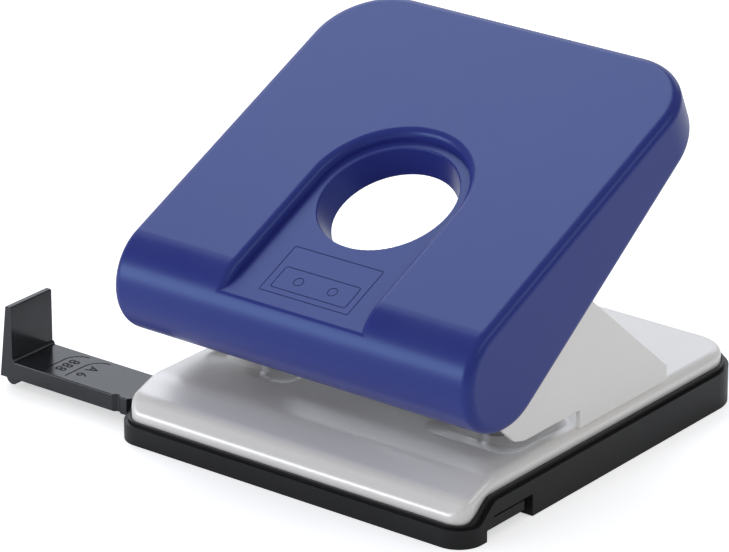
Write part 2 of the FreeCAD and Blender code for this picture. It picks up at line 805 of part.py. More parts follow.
def finger_cone(grow, start, end):
    """Tapered round through the handle, between two depths below the top face."""
    taper = (finger_hole_radius - finger_hole_lower_radius) / (finger_tube_end - finger_recess_depth)
    upper = finger_hole_radius + grow - (start - finger_recess_depth) * taper
    under = finger_hole_radius + grow - (end - finger_recess_depth) * taper
    cone = Part.makeCone(under, upper, end - start, V(0, finger_centre, -end))
    return on_handle(cone)


def cover_boss(x, along):
    """Screw boss from the underside of the top face to the lever's web."""
    boss = post(boss_radius, x, along, -lever_web_depth, -handle_wall / 2)
    hole = post(screw_radius, x, along, -lever_web_depth - 1, -handle_wall - 1)
    return on_handle(boss), on_handle(hole)


def axle_rib(x):
    """Rib inside the nose that rides on the pivot axle."""
    start, end = sorted((x, x - math.copysign(axle_rib_thickness, x)))
    corners = [(pivot_y - nose_radius, pivot_z - 6, 0), (pivot_y - nose_radius, pivot_z + nose_radius, 0),
               (pivot_y + 9, pivot_z + nose_radius + 8, 0), (pivot_y + 7, pivot_z - 6, 5)]
    rib = side_slab(corners, start, end)
    return rib.cut(rod_x(axle_radius + running_fit, start, end, pivot_y, pivot_z))


def handle_cover():
    outside = handle_outside()
    rim = [edge for edge in outside.Edges if is_outer_rim(edge, outside)]
    outside = sink_panel(outside.makeFillet(handle_edge_radius, rim))
    cover = outside.cut(handle_cavity())
    backing = finger_panel(handle_wall, 0, finger_recess_depth + handle_wall).common(outside)
    tube = finger_cone(finger_tube_wall, finger_recess_depth, finger_tube_end)
    rib_x = lever_inner_x - axle_rib_inset
    ribs = [axle_rib(side * rib_x).common(outside) for side in (-1, 1)]
    cover = joined([cover, backing, tube] + ribs)
    cover = round_finger_hole(cover.cut(finger_cone(0, -1, finger_tube_end + 1)))
    holes = []
    for x, along in screw_places():
        boss, hole = cover_boss(x, along)
        cover = cover.fuse(boss)
        holes.append(hole)
    cover = cover.removeSplitter()
    for hole in holes:
        cover = cover.cut(hole)
    return cover


def below_top(point):
    """Depth of a point below the handle's top face."""
    return (top_z + point.y * math.tan(slope) - point.z) * math.cos(slope)


def round_finger_hole(cover):
    """Round the edge between the panel's bed and the finger hole."""
    rim = []
    for edge in cover.Edges:
        middle = edge.valueAt((edge.FirstParameter + edge.LastParameter) / 2)
        depths = [below_top(vertex.Point) for vertex in edge.Vertexes] + [below_top(middle)]
        along = middle.y * math.cos(slope) + (middle.z - top_z) * math.sin(slope)
        reach = math.hypot(middle.x, along - finger_centre)
        on_bed = max(abs(depth - finger_recess_depth) for depth in depths) < 0.01
        if on_bed and abs(reach - finger_hole_radius) < 0.5:
            rim.append(edge)
    return cover.makeFillet(finger_hole_rim_radius, rim)


def screw_places():
    return [(side * cover_screw_x, along) for side in (-1, 1)
            for along in (cover_screw_front, cover_screw_rear)]


# ---- lever frame ----
def lever_arm(side):
    """Side arm from the pivot past the press bar to the rear web."""
    top_front = handle_point(8.0, lever_top_depth)
    top_rear = handle_point(lever_web_rear, lever_web_depth)
    web_front = handle_point(lever_web_front, lever_web_depth + lever_sheet)
    web_rear = handle_point(lever_web_rear, lever_web_depth + lever_sheet)
    boss = lever_boss_radius
    corners = [(pivot_y - boss, pivot_z - boss * 0.6, boss * 0.5),
               (pivot_y - boss, pivot_z + boss * 0.9, boss * 0.7),
               (top_front[0] + boss, top_front[1] + boss * math.tan(slope), 4),
               (handle_point(lever_web_front - 8, lever_top_depth)[0],
                handle_point(lever_web_front - 8, lever_top_depth)[1], 6),
               (top_rear[0], top_rear[1], 0), (web_rear[0], web_rear[1], 0),
               (web_front[0], web_front[1], 6),
               (press_y + 6, press_z - 7, 5), (press_y - 6, press_z - 8, 4),
               (stop_rod_y - 1.5, pivot_z - 4.5, 2),
               (stop_rod_y - stop_rod_radius - gap, stop_rod_z + 1, 1),
               (stop_rod_y - stop_rod_radius - gap, stop_rod_z - 4, 1.5),
               (pivot_y + 1, stop_rod_z - 4, 2)]
    start, end = sorted((side * lever_inner_x, side * lever_outer_x))
    arm = side_slab(corners, start, end)
    arm = arm.cut(rod_x(lever_bush_bore(), start, end, pivot_y, pivot_z))
    return arm.cut(rod_x(press_bar_seat(), start, end, press_y, press_z))


def lever_bush_bore():
    """Hole in the arm that the bush's neck fills."""
    return (axle_radius + lever_bush_radius) / 2


def press_bar_seat():
    """Radius of the press bar's turned-down ends."""
    return press_bar_radius - 1


def lever_frame():
    web = plan_slab([(-lever_outer_x, lever_web_front, 0), (lever_outer_x, lever_web_front, 0),
                     (lever_outer_x, lever_web_rear, 0), (-lever_outer_x, lever_web_rear, 0)],
                    -lever_web_depth - lever_sheet, -lever_web_depth)
    frame = joined([lever_arm(-1), lever_arm(1), on_handle(web)])
    for x, along in screw_places():
        frame = frame.cut(on_handle(post(screw_radius, x, along, -lever_web_depth - 5, -1)))
    return frame


def lever_bush(side):
    """Flanged bush between a lever arm and its cheek."""
    start, end = sorted((side * lever_outer_x, side * (lever_outer_x + lever_bush_flange)))
    flange = rod_x(lever_bush_radius, start, end, pivot_y, pivot_z)
    neck_start, neck_end = sorted((side * lever_inner_x, side * lever_outer_x))
    neck = rod_x(lever_bush_bore(), neck_start, neck_end, pivot_y, pivot_z)
    bore = rod_x(axle_radius + running_fit, -cheek_outer_x, cheek_outer_x, pivot_y, pivot_z)
    return joined([flange, neck]).cut(bore)


def press_bar():
    bar = rod_x(press_bar_radius, -lever_inner_x, lever_inner_x, press_y, press_z)
    ends = rod_x(press_bar_seat(), -lever_outer_x, lever_outer_x, press_y, press_z)
    return joined([bar, ends])


def cover_screws():
    screws = []
    under = lever_web_depth + lever_sheet
    for x, along in screw_places():
        shank = post(screw_radius, x, along, -under, -handle_wall - 2)
        head = post(screw_head_radius, x, along, -under - screw_head_height, -under)
        head = head.makeFillet(screw_head_height * 0.5, [head.Edges[2]])
        slot = box(x - screw_head_radius, x + screw_head_radius, along - 0.4, along + 0.4,
                   -under - screw_head_height - 1, -under - screw_head_height + 0.8)
        screws.append(on_handle(joined([shank, head]).cut(slot)))
    return Part.makeCompound(screws)


# ---- paper guide ----
def notch(x):
    """V-shaped detent notch in the rail's front face."""
    half = notch_width / 2
    corners = [(x - half, rail_front_y - 0.01, 0), (x + half, rail_front_y - 0.01, 0),
               (x + 0.4, rail_front_y + notch_depth, 0), (x - 0.4, rail_front_y + notch_depth, 0)]
    return plan_slab(corners, rail_bottom_z - 2, rail_top_z + 1)


def notch_places():
    return [detent_x - stop_face_x + reach for reach in (far_stop, stop_face_x) + near_stops]


def guide_rail():
    """Rail with its paper stop, moulded in one."""
    edge = rail_edge_radius
    section = [(rail_front_y, rail_bottom_z, edge), (rail_rear_y, rail_bottom_z, edge),
               (rail_rear_y, rail_top_z, edge), (rail_front_y, rail_top_z, edge)]
    rail = side_slab(section, -stop_face_x - 1, rail_inner_x)
    key = box(-tray_width / 2 - rail_key_reach, rail_inner_x, rail_front_y + 3.5, rail_rear_y - 3.5,
              rail_bottom_z - rail_key, rail_bottom_z + 0.5)
    base = -stop_face_x - stop_base_thickness
    top = -stop_face_x - stop_top_thickness
    stop = [(base, rail_bottom_z, 0), (-stop_face_x, rail_bottom_z, 0),
            (-stop_face_x, rail_top_z + stop_height, 0.5), (top, rail_top_z + stop_height, 0.5)]
    plate = slab(stop, lambda a, b: V(a, 0, b), V(0, rail_front_y, 0), V(0, rail_width, 0))
    bead = Part.makeCylinder(0.9, rail_width, V(-stop_face_x, rail_front_y, rail_top_z), V(0, 1, 0))
    foot = Part.makeCylinder(rail_foot_radius, rail_width - 2,
                             V(-stop_face_x - 1, rail_front_y + 1, rail_bottom_z), V(0, 1, 0))
    rail = joined([rail, key, plate, bead, foot])
    for x in notch_places():
        rail = rail.cut(notch(x))
    for place in mark_places:
        rail = rail.cut(corner_mark(place - stop_face_x))
    return rail


def corner_mark(x):
    """Engraved line with a rounded end, showing where a sheet's corner comes."""
    centre_y = rail_rear_y - mark_end_gap - mark_radius
    ring = post(mark_radius, x + mark_radius, centre_y, rail_top_z - mark_depth, rail_top_z + 1)
    core = post(mark_radius - mark_width, x + mark_radius, centre_y, rail_top_z - 1, rail_top_z + 2)
    quarter = box(x - 1, x + mark_radius, centre_y, rail_rear_y, rail_top_z - 1, rail_top_z + 2)
    line = box(x, x + mark_width, rail_front_y + mark_end_gap, centre_y, rail_top_z - mark_depth,
               rail_top_z + 1)
    return joined([ring.cut(core).common(quarter), line])


# ---- guide channel ----
def ear_y():
    return rail_rear_y + channel_wall + gap + ear_length / 2


def ear_places():
    return [channel_start_x + ear_x_inset, channel_end_x - ear_x_inset]


def guide_channel():
    """Sleeve under the deck in which the paper guide slides."""
    front = rail_front_y - gap
    rear = rail_rear_y + gap
    low = rail_bottom_z - gap
    top = rail_top_z + gap
    wall = channel_wall
    roof = box(channel_start_x, channel_end_x, front, rear, top, top + wall)
    foot = low - channel_lip_thickness
    walls = [box(channel_start_x, channel_end_x, y, y + wall, foot, top + wall)
             for y in (front - wall, rear)]
    lips = [box(channel_start_x, channel_end_x, front, front + channel_lip, foot, low),
            box(channel_start_x, channel_end_x, rear - channel_lip, rear, foot, low)]
    ears = []
    for x in ear_places():
        ears.append(box(x - ear_length / 2, x + ear_length / 2, rear, rear + wall + ear_length,
                        top, top + wall))
    channel = joined([roof] + walls + lips + ears)
    for x in ear_places():
        channel = channel.cut(post(screw_radius, x, ear_y(), 0, deck_z))
    slot = box(detent_x - spring_leaf_length / 2, detent_x + spring_leaf_length / 2, front - wall - 1,
               front, rail_bottom_z + 1, rail_top_z - 1)
    return channel.cut(slot)


def channel_screws():
    screws = []
    top = rail_top_z + gap
    for x in ear_places():
        shank = post(screw_radius, x, ear_y(), top, ear_hole_top - gap)
        head = post(screw_head_radius, x, ear_y(), top - screw_head_height, top)
        slot = box(x - screw_head_radius, x + screw_head_radius, ear_y() - 0.4, ear_y() + 0.4,
                   top - screw_head_height - 1, top - screw_head_height + 0.8)
        screws.append(joined([shank, head]).cut(slot))
    return Part.makeCompound(screws)


def detent_spring():
    """Leaf spring held in the channel's front wall, whose bump drops into the notches."""
    half = spring_leaf_length / 2
    outer = rail_front_y - gap - channel_wall
    low = rail_bottom_z + 1
    high = rail_top_z - 1
    leaf = box(detent_x - half, detent_x + half, outer, outer + spring_leaf, low, high)
    bump = [(detent_x - 2.0, outer + spring_leaf / 2, 0), (detent_x + 2.0, outer + spring_leaf / 2, 0),
            (detent_x, rail_front_y - gap, 0.6)]
    return joined([leaf, plan_slab(bump, low, high)])


# ---- write every piece ----
os.makedirs("parts", exist_ok=True)
save("chip_tray", chip_tray())
save("base_plate", base_plate())
save("cheek_left", cheek(-1))
save("cheek_right", cheek(1))
save("punch_bridge", punch_bridge())
save("bridge_rivets", bridge_rivets())
save("pivot_axle", pivot_axle())
save("axle_clips", axle_clips())
save("stop_rod", stop_rod())
save("guide_channel", guide_channel())
save("channel_screws", channel_screws())
save("detent_spring", detent_spring())
save("guide_rail", guide_rail())
save("handle_cover", handle_cover())
save("lever_frame", lever_frame())
save("press_bar", press_bar())
save("cover_screws", cover_screws())
for name, side in sides.items():
    save("guide_bush_" + name, guide_bush(side))
    save("die_ring_" + name, die_ring(side))
    save("punch_pin_" + name, punch_pin(side))
    save("punch_head_" + name, punch_head(side))
    save("return_spring_" + name, return_spring(side))
    save("lever_bush_" + name, lever_bush(side))
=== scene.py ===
import math

import bmesh
import bpy
from bpy.props import FloatProperty, FloatVectorProperty, PointerProperty, StringProperty
from mathutils import Matrix, Vector


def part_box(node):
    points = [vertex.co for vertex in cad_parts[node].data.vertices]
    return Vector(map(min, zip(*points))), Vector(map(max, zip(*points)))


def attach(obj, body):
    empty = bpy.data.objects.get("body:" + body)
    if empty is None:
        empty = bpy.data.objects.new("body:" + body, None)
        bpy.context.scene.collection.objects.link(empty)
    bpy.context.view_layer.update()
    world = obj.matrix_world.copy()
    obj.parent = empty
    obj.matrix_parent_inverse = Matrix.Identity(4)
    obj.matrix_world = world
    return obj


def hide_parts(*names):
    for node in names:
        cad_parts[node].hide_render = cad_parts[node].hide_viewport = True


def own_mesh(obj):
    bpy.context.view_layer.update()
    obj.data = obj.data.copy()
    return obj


bl_info = {
    "name": "Paper drill dressing",
    "version": (1, 0, 0),
    "blender": (4, 5, 0),
    "location": "3D View > Sidebar > Paper Drill",
    "description": "Finishes, engraved marks and studio for a two-hole desk punch",
    "category": "Object",
}

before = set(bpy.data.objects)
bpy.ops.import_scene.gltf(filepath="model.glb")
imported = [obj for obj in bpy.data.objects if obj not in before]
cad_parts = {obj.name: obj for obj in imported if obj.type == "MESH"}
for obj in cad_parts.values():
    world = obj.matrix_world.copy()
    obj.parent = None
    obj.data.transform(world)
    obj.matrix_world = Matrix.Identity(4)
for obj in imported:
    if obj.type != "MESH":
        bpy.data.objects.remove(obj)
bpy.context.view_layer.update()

# The handle's top face: where it stands over the tray's front edge, and how steeply it rises. Then the depth of
# its sunk panel, the height of the guide's rail, and the share of rub marks beside smudges.
TRAY_FRONT_Y = -0.069
HANDLE_TOP_Z = 0.05705
HANDLE_SLOPE = math.radians(24.1)
PANEL_DEPTH = 0.0035
RAIL_TOP_Z = 0.0086
RUB_SHARE = 0.3

# Engraved marks, drawn as thin strips in painted groove shade: how high they lie on their face, how thick their
# strips are, and where they stand.
PANEL_MARK_LIFT = 0.00001
PANEL_MARK_DEPTH = 0.00003
BORDER_X = 0.0011
SHEET_PLACE = (0.0012, 0.0128)
SHEET_HOLE_X = 0.006
RAIL_MARK_LIFT = 0.00002
RAIL_MARK_DEPTH = 0.00004
RAIL_MARK_Y = -0.0518
FAR_MARK = (-0.0951, 1.15)
NEAR_MARK = (-0.0873, 1.7)

# Soft lamps: heading from the object, distance, and size of the cloth.
LAMP_COLOUR = (0.86, 0.91, 1.0)
SOFTBOXES = {
    "top": ((-0.55, 0.38, 0.76), 1.6, (0.95, 1.1)),
    "front": ((-0.567, -0.81, 0.16), 1.5, (1.1, 0.5)),
    "back": ((-0.52, 0.78, 0.36), 1.8, (2.2, 0.9)),
    "right": ((0.75, 0.15, 0.58), 1.6, (1.2, 0.4)),
}


# ---- settings ----
class CoverSettings(bpy.types.PropertyGroup):
    """Finish of the moulded handle cover."""

    colour: FloatVectorProperty(name="Cover colour", description="Blue of the moulded cover", subtype="COLOR",
                                size=3, min=0, max=1, default=(0.026, 0.034, 0.226))
    roughness: FloatProperty(name="Roughness", description="Satin of the cover", default=0.3, min=0, max=1,
                             subtype="FACTOR")
    gloss_tint: FloatVectorProperty(name="Gloss tint", description="Colour of the cover's sheen", subtype="COLOR",
                                    size=3, min=0, max=1, default=(0.44, 0.66, 0.97))
    gloss_level: FloatProperty(name="Gloss level", description="Strength of the cover's sheen", default=0.55,
                               min=0, max=1, subtype="FACTOR")
    grain: FloatProperty(name="Grain", description="Width of one grain of the moulded skin", default=0.00045,
                         min=0.0001, max=0.002, unit="LENGTH")
    relief: FloatProperty(name="Relief", description="Height of the moulded grain", default=0.000012, min=0,
                          max=0.0002, unit="LENGTH", precision=6)


class BaseSettings(bpy.types.PropertyGroup):
    """Finish of the pressed base and of the steel parts on it."""

    silver: FloatVectorProperty(name="Base colour", description="Silver lacquer of the pressed base",
                                subtype="COLOR", size=3, min=0, max=1, default=(0.9, 0.875, 0.845))
    zinc: FloatVectorProperty(name="Zinc colour", description="Bright zinc of the plated parts", subtype="COLOR",
                              size=3, min=0, max=1, default=(0.78, 0.79, 0.8))
    tool_steel: FloatVectorProperty(name="Tool steel", description="Hardened and ground steel",
                                    subtype="COLOR", size=3, min=0, max=1, default=(0.42, 0.42, 0.44))
    roughness: FloatProperty(name="Roughness", description="Satin of the silver lacquer", default=0.32, min=0,
                             max=1, subtype="FACTOR")


class PlasticSettings(bpy.types.PropertyGroup):
    """Colours of the black mouldings and the bearing bushes."""

    tray: FloatVectorProperty(name="Tray colour", description="Black of the chip tray", subtype="COLOR", size=3,
                              min=0, max=1, default=(0.012, 0.012, 0.0125))
    rail: FloatVectorProperty(name="Rail colour", description="Black of the paper guide", subtype="COLOR",
                              size=3, min=0, max=1, default=(0.0105, 0.0115, 0.0155))
    acetal: FloatVectorProperty(name="Acetal colour", description="Natural bearing plastic", subtype="COLOR",
                                size=3, min=0, max=1, default=(0.72, 0.71, 0.67))


class MarkSettings(bpy.types.PropertyGroup):
    """Sizes of the engraved lines on the panel and the guide."""

    line: FloatProperty(name="Line", description="Width of an engraved line", default=0.00026, min=0.0001,
                        max=0.002, unit="LENGTH")
    border_width: FloatProperty(name="Border width", description="Across the handle", default=0.0314,
                                min=0.01, max=0.04, unit="LENGTH")
    border_length: FloatProperty(name="Border length", description="Along the handle", default=0.0184,
                                 min=0.005, max=0.03, unit="LENGTH")
    border_centre: FloatProperty(name="Border centre", description="Along the handle, from over its front edge",
                                 default=0.0157, unit="LENGTH")
    sheet_width: FloatProperty(name="Sheet width", description="Width of the engraved sheet of paper",
                               default=0.0266, min=0.005, max=0.04, unit="LENGTH")
    sheet_length: FloatProperty(name="Sheet length", description="Height of the engraved sheet of paper",
                                default=0.0086, min=0.002, max=0.02, unit="LENGTH")
    hole: FloatProperty(name="Hole", description="Radius of a hole in the engraved sheet", default=0.0016,
                        min=0.0005, max=0.004, unit="LENGTH")
    far_format: StringProperty(name="Far mark", description="Format mark next to the paper stop", default="888")
    near_format: StringProperty(name="Near mark", description="Format mark further in", default="A6")
    text_height: FloatProperty(name="Text height", description="Height of the format marks", default=0.0052,
                               min=0.001, max=0.01, unit="LENGTH")


class StudioSettings(bpy.types.PropertyGroup):
    """Camera, floor and lamps."""

    lens: FloatProperty(name="Lens", description="Focal length on a 36 mm sensor", default=236.87, min=10,
                        max=500)
    azimuth: FloatProperty(name="Azimuth", description="Camera's turn to the right of the front",
                           default=math.radians(37.816), subtype="ANGLE")
    elevation: FloatProperty(name="Elevation", description="Camera's height angle",
                             default=math.radians(22.329), subtype="ANGLE")
    distance: FloatProperty(name="Distance", description="From the camera to the point it looks at",
                            default=1.34228, min=0.1, max=10, unit="LENGTH")
    aim: FloatVectorProperty(name="Aim", description="Point that the camera looks at", size=3,
                             default=(0.003515, -0.036753, 0.056776), subtype="XYZ", unit="LENGTH")
    floor_tone: FloatProperty(name="Floor tone", description="Grey of the floor", default=0.9, min=0, max=1,
                              subtype="FACTOR")
    floor_glow: FloatProperty(name="Floor glow", description="What the camera sees added to the floor",
                              default=0.54, min=0, max=2)
    floor_sheen: FloatProperty(name="Floor sheen", description="Share of the glow that gloss sees", default=0.08,
                               min=0, max=1, subtype="FACTOR")
    sky: FloatProperty(name="Sky", description="Light from all round", default=0.5, min=0, max=2)
    gloss_sky: FloatProperty(name="Sky in gloss", description="Level of the room that gloss shows",
                             default=0.2, min=0, max=2)
    top_box: FloatProperty(name="Top softbox", description="Brightness of its cloth", default=2.2, min=0)
    front_box: FloatProperty(name="Front softbox", description="Brightness of its cloth", default=4.3, min=0)
    back_box: FloatProperty(name="Back softbox", description="Brightness of its cloth", default=1.05, min=0)
    right_box: FloatProperty(name="Right softbox", description="Brightness of its cloth", default=1.75, min=0)


# ---- node trees ----
def group_tree(name, inputs, outputs):
    """Empty node group with named sockets, given as (name, kind, default)."""
    tree = bpy.data.node_groups.new(name, "ShaderNodeTree")
    for label, kind, value in inputs:
        socket = tree.interface.new_socket(name=label, in_out="INPUT", socket_type=kind)
        socket.default_value = value
    for label, kind in outputs:
        tree.interface.new_socket(name=label, in_out="OUTPUT", socket_type=kind)
    entry = tree.nodes.new("NodeGroupInput")
    leave = tree.nodes.new("NodeGroupOutput")
    return tree, entry, leave


def node(tree, kind, **settings):
    """New node with its settings; a setting that names an input sets that input's value."""
    made = tree.nodes.new(kind)
    for key, value in settings.items():
        label = key.replace("_", " ").title()
        if hasattr(made, key):
            setattr(made, key, value)
        else:
            made.inputs[label].default_value = value
    return made


def join(tree, source, target):
    tree.links.new(source, target)


def object_place(tree, scale=(1, 1, 1)):
    """Object coordinates, stretched by a Mapping node."""
    place = tree.nodes.new("ShaderNodeTexCoord")
    mapping = tree.nodes.new("ShaderNodeMapping")
    mapping.inputs["Scale"].default_value = scale
    join(tree, place.outputs["Object"], mapping.inputs["Vector"])
    return mapping.outputs["Vector"]


def shared_group(name, build):
    """The node group of that name, built the first time it is asked for."""
    return bpy.data.node_groups.get(name) or build(name)


def build_moulding_drift(name):
    """Slow change of tone over a moulding, as flow and cooling leave it."""
    tree, entry, leave = group_tree(
        name,
        [("Colour", "NodeSocketColor", (0.5, 0.5, 0.5, 1)), ("Spread", "NodeSocketFloat", 40.0),
         ("Strength", "NodeSocketFloat", 0.1)],
        [("Colour", "NodeSocketColor")])
    cloud = node(tree, "ShaderNodeTexNoise", detail=3.0, roughness=0.55)
    join(tree, object_place(tree), cloud.inputs["Vector"])
    join(tree, entry.outputs["Spread"], cloud.inputs["Scale"])
    centred = node(tree, "ShaderNodeMath", operation="SUBTRACT")
    centred.inputs[1].default_value = 0.5
    join(tree, cloud.outputs["Fac"], centred.inputs[0])
    swing = node(tree, "ShaderNodeMath", operation="MULTIPLY_ADD")
    swing.inputs[2].default_value = 1.0
    join(tree, centred.outputs[0], swing.inputs[0])
    join(tree, entry.outputs["Strength"], swing.inputs[1])
    tone = node(tree, "ShaderNodeHueSaturation")
    join(tree, swing.outputs[0], tone.inputs["Value"])
    join(tree, entry.outputs["Colour"], tone.inputs["Color"])
    join(tree, tone.outputs["Color"], leave.inputs["Colour"])
    return tree


def build_moulded_grain(name):
    """Fine spark-eroded grain of a mould."""
    tree, entry, leave = group_tree(name, [("Fineness", "NodeSocketFloat", 2200.0)],
                                    [("Height", "NodeSocketFloat")])
    pits = node(tree, "ShaderNodeTexNoise", detail=2.0, roughness=0.6)
    join(tree, object_place(tree), pits.inputs["Vector"])
    join(tree, entry.outputs["Fineness"], pits.inputs["Scale"])
    join(tree, pits.outputs["Fac"], leave.inputs["Height"])
    return tree


def build_handling(name):
    """Smudges and fine rub marks that change the gloss."""
    tree, entry, leave = group_tree(
        name,
        [("Gloss", "NodeSocketFloat", 0.35), ("Change", "NodeSocketFloat", 0.1),
         ("Spread", "NodeSocketFloat", 60.0)],
        [("Roughness", "NodeSocketFloat")])
    smudge = node(tree, "ShaderNodeTexNoise", detail=4.0, roughness=0.6)
    join(tree, object_place(tree), smudge.inputs["Vector"])
    join(tree, entry.outputs["Spread"], smudge.inputs["Scale"])
    rubs = node(tree, "ShaderNodeTexNoise", detail=1.0, scale=140.0)
    join(tree, object_place(tree, (1.0, 0.25, 1.0)), rubs.inputs["Vector"])
    faint = node(tree, "ShaderNodeMath", operation="MULTIPLY_ADD")
    faint.inputs[1].default_value = RUB_SHARE
    join(tree, rubs.outputs["Fac"], faint.inputs[0])
    join(tree, smudge.outputs["Fac"], faint.inputs[2])
    centred = node(tree, "ShaderNodeMath", operation="SUBTRACT")
    centred.inputs[1].default_value = (1 + RUB_SHARE) / 2
    join(tree, faint.outputs[0], centred.inputs[0])
    gloss = node(tree, "ShaderNodeMath", operation="MULTIPLY_ADD")
    join(tree, centred.outputs[0], gloss.inputs[0])
    join(tree, entry.outputs["Change"], gloss.inputs[1])
    join(tree, entry.outputs["Gloss"], gloss.inputs[2])
    join(tree, gloss.outputs[0], leave.inputs["Roughness"])
    return tree


def build_settled_dust(name):
    """Thin film of dust that lies on what faces up."""
    tree, entry, leave = group_tree(
        name,
        [("Colour", "NodeSocketColor", (0.1, 0.1, 0.1, 1)), ("Dust", "NodeSocketColor", (0.5, 0.5, 0.5, 1)),
         ("Amount", "NodeSocketFloat", 0.05)],
        [("Colour", "NodeSocketColor"), ("Film", "NodeSocketFloat")])
    surface = node(tree, "ShaderNodeNewGeometry")
    facing = node(tree, "ShaderNodeSeparateXYZ")
    join(tree, surface.outputs["Normal"], facing.inputs[0])
    upward = node(tree, "ShaderNodeMapRange", from_min=0.2, from_max=0.95)
    join(tree, facing.outputs["Z"], upward.inputs["Value"])
    cloud = node(tree, "ShaderNodeTexNoise", detail=2.0, scale=45.0)
    join(tree, object_place(tree), cloud.inputs["Vector"])
    patchy = node(tree, "ShaderNodeMapRange", from_min=0.35, from_max=0.75)
    join(tree, cloud.outputs["Fac"], patchy.inputs["Value"])
    film = node(tree, "ShaderNodeMath", operation="MULTIPLY")
    join(tree, upward.outputs[0], film.inputs[0])
    join(tree, patchy.outputs[0], film.inputs[1])
    amount = node(tree, "ShaderNodeMath", operation="MULTIPLY", use_clamp=True)
    join(tree, film.outputs[0], amount.inputs[0])
    join(tree, entry.outputs["Amount"], amount.inputs[1])
    mix = node(tree, "ShaderNodeMix", data_type="RGBA")
    join(tree, amount.outputs[0], mix.inputs["Factor"])
    join(tree, entry.outputs["Colour"], mix.inputs[6])
    join(tree, entry.outputs["Dust"], mix.inputs[7])
    join(tree, mix.outputs[2], leave.inputs["Colour"])
    join(tree, amount.outputs[0], leave.inputs["Film"])
    return tree


def build_drawn_grain(name):
    """Long fine lines left by rolling, drawing or grinding."""
    tree, entry, leave = group_tree(
        name,
        [("Place", "NodeSocketVector", (0, 0, 0)), ("Fineness", "NodeSocketFloat", 1500.0)],
        [("Height", "NodeSocketFloat"), ("Tone", "NodeSocketFloat")])
    lines = node(tree, "ShaderNodeTexNoise", detail=3.0, roughness=0.65)
    join(tree, entry.outputs["Place"], lines.inputs["Vector"])
    join(tree, entry.outputs["Fineness"], lines.inputs["Scale"])
    tone = node(tree, "ShaderNodeMapRange", from_min=0.3, from_max=0.7, to_min=0.88, to_max=1.06)
    join(tree, lines.outputs["Fac"], tone.inputs["Value"])
    join(tree, lines.outputs["Fac"], leave.inputs["Height"])
    join(tree, tone.outputs[0], leave.inputs["Tone"])
    return tree


GROUPS = {
    "moulding drift": build_moulding_drift,
    "moulded grain": build_moulded_grain,
    "handling": build_handling,
    "settled dust": build_settled_dust,
    "drawn grain": build_drawn_grain,
}


def effect(tree, name, **values):
    """One of the shared effects, with its own values."""
    made = tree.nodes.new("ShaderNodeGroup")
    made.node_tree = shared_group(name, GROUPS[name])
    made.label = name
    for key, value in values.items():
        made.inputs[key.title()].default_value = value
    return made


def finish_sheet(name):
    """New material with a Principled shader, as (material, tree, shader)."""
    material = bpy.data.materials.new(name)
    material.use_nodes = True
    tree = material.node_tree
    return material, tree, tree.nodes["Principled BSDF"]


def raise_grain(tree, shader, height, depth):
    """Bump that turns a height pattern into a normal."""
    bump = node(tree, "ShaderNodeBump")
    bump.inputs["Strength"].default_value = 1.0
    bump.inputs["Distance"].default_value = depth
    join(tree, height, bump.inputs["Height"])
    join(tree, bump.outputs["Normal"], shader.inputs["Normal"])


# ---- finishes ----
def moulded_plastic(name, colour, roughness, fineness, relief, dust=0.02, drift=0.3, handled=0.06,
                    sheen=(1, 1, 1), level=0.5):
    """Moulded plastic with grain, slow tone changes, rub marks and a little dust."""
    material, tree, shader = finish_sheet(name)
    tone = effect(tree, "moulding drift", colour=(*colour, 1), spread=28.0, strength=drift)
    film = effect(tree, "settled dust", dust=(0.45, 0.46, 0.5, 1), amount=dust)
    join(tree, tone.outputs["Colour"], film.inputs["Colour"])
    join(tree, film.outputs["Colour"], shader.inputs["Base Color"])
    gloss = effect(tree, "handling", gloss=roughness, change=handled, spread=45.0)
    dull = node(tree, "ShaderNodeMath", operation="ADD")
    join(tree, gloss.outputs["Roughness"], dull.inputs[0])
    join(tree, film.outputs["Film"], dull.inputs[1])
    join(tree, dull.outputs[0], shader.inputs["Roughness"])
    grain = effect(tree, "moulded grain", fineness=fineness)
    raise_grain(tree, shader, grain.outputs["Height"], relief)
    shader.inputs["Specular Tint"].default_value = (*sheen, 1)
    shader.inputs["Specular IOR Level"].default_value = level
    return material


def silver_lacquer(name, colour, roughness):
    """Silver lacquer on pressed steel: fine flakes under a satin film."""
    material, tree, shader = finish_sheet(name)
    tone = effect(tree, "moulding drift", colour=(*colour, 1), spread=18.0, strength=0.05)
    flakes = node(tree, "ShaderNodeTexVoronoi", scale=3200.0)
    join(tree, object_place(tree), flakes.inputs["Vector"])
    sparkle = node(tree, "ShaderNodeMapRange", to_min=0.98, to_max=1.02)
    join(tree, flakes.outputs["Color"], sparkle.inputs["Value"])
    glint = node(tree, "ShaderNodeHueSaturation")
    join(tree, sparkle.outputs[0], glint.inputs["Value"])
    join(tree, tone.outputs["Colour"], glint.inputs["Color"])
    film = effect(tree, "settled dust", dust=(0.5, 0.5, 0.5, 1), amount=0.025)
    join(tree, glint.outputs["Color"], film.inputs["Colour"])
    join(tree, film.outputs["Colour"], shader.inputs["Base Color"])
    gloss = effect(tree, "handling", gloss=roughness, change=0.03, spread=30.0)
    join(tree, gloss.outputs["Roughness"], shader.inputs["Roughness"])
    shader.inputs["Metallic"].default_value = 0.2
    grain = effect(tree, "moulded grain", fineness=900.0)
    raise_grain(tree, shader, grain.outputs["Height"], 0.000002)
    return material


